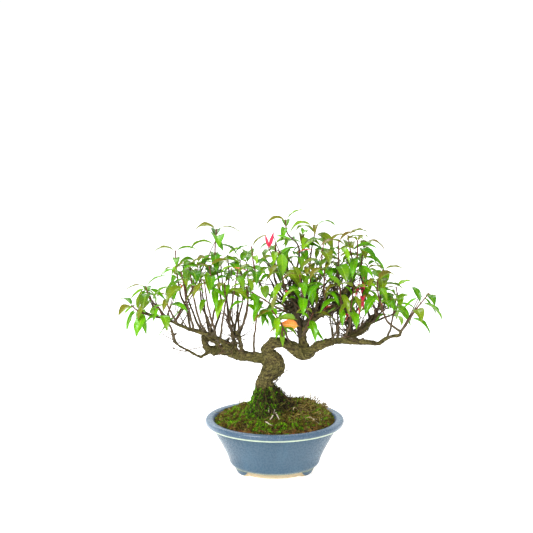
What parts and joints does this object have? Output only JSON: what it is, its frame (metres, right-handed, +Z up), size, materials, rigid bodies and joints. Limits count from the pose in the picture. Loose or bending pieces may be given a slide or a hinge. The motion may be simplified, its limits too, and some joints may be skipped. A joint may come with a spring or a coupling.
{
  "type": "star jasmine bonsai",
  "caption": "Potted miniature tree with an S-shaped trunk, two spreading limbs and thin shoots of drooping lance-shaped leaves, in an oval glazed pot on low feet.",
  "frame": {"origin": "on the ground, under the middle of the whole plant's bounding box", "axes": "+X to the right as seen from the front, +Y to the back, +Z up"},
  "size_m": [0.4026, 0.1454, 0.3408],
  "materials": {
    "glazed_stoneware": "gloss",
    "mossy_soil": "matte",
    "bark": "matte",
    "green_leaf": "satin",
    "orange_leaf": "satin",
    "red_leaf": "satin"
  },
  "bodies": {
    "root": {"leafy_shoot_left_01": "green_leaf", "leafy_shoot_left_02": "green_leaf", "leafy_shoot_left_03": "green_leaf", "leafy_shoot_left_04": "green_leaf", "leafy_shoot_left_05": "green_leaf", "leafy_shoot_left_06": "green_leaf", "leafy_shoot_left_07": "green_leaf", "leafy_shoot_left_08": "green_leaf", "leafy_shoot_left_09": "green_leaf", "leafy_shoot_left_10": "green_leaf", "leafy_shoot_left_11": "green_leaf", "leafy_shoot_left_12": "green_leaf", "leafy_shoot_left_13": "green_leaf", "leafy_shoot_left_14": "green_leaf", "leafy_shoot_left_15": "green_leaf", "leafy_shoot_left_16": "green_leaf", "leafy_shoot_left_17": "green_leaf", "leafy_shoot_left_18": "green_leaf", "leafy_shoot_left_19": "green_leaf", "leafy_shoot_left_20": "green_leaf", "leafy_shoot_left_21": "green_leaf", "leafy_shoot_left_22": "green_leaf", "leafy_shoot_middle_01": "green_leaf", "leafy_shoot_middle_02": "green_leaf", "leafy_shoot_middle_03": "green_leaf", "leafy_shoot_middle_04": "green_leaf", "leafy_shoot_middle_05": "green_leaf", "leafy_shoot_middle_06": "green_leaf", "leafy_shoot_middle_07": "green_leaf", "leafy_shoot_middle_08": "green_leaf", "leafy_shoot_middle_09": "green_leaf", "leafy_shoot_middle_10": "green_leaf", "leafy_shoot_middle_11": "green_leaf", "leafy_shoot_middle_12": "green_leaf", "leafy_shoot_middle_13": "green_leaf", "leafy_shoot_middle_14": "green_leaf", "leafy_shoot_middle_15": "green_leaf", "leafy_shoot_middle_16": "green_leaf", "leafy_shoot_middle_17": "green_leaf", "leafy_shoot_right_01": "green_leaf", "leafy_shoot_right_02": "green_leaf", "leafy_shoot_right_03": "green_leaf", "leafy_shoot_right_04": "green_leaf", "leafy_shoot_right_05": "green_leaf", "leafy_shoot_right_06": "green_leaf", "leafy_shoot_right_07": "green_leaf", "leafy_shoot_right_08": "green_leaf", "leafy_shoot_right_09": "green_leaf", "leafy_shoot_right_10": "green_leaf", "leafy_shoot_right_11": "green_leaf", "leafy_shoot_right_12": "green_leaf", "leafy_shoot_right_13": "green_leaf", "leafy_shoot_right_14": "green_leaf", "old_leaf_orange": "orange_leaf", "old_leaves_red_right": "red_leaf", "old_leaves_red_top": "red_leaf", "pot": "glazed_stoneware", "soil": "mossy_soil", "tree": "bark"}
  },
  "joints": []
}
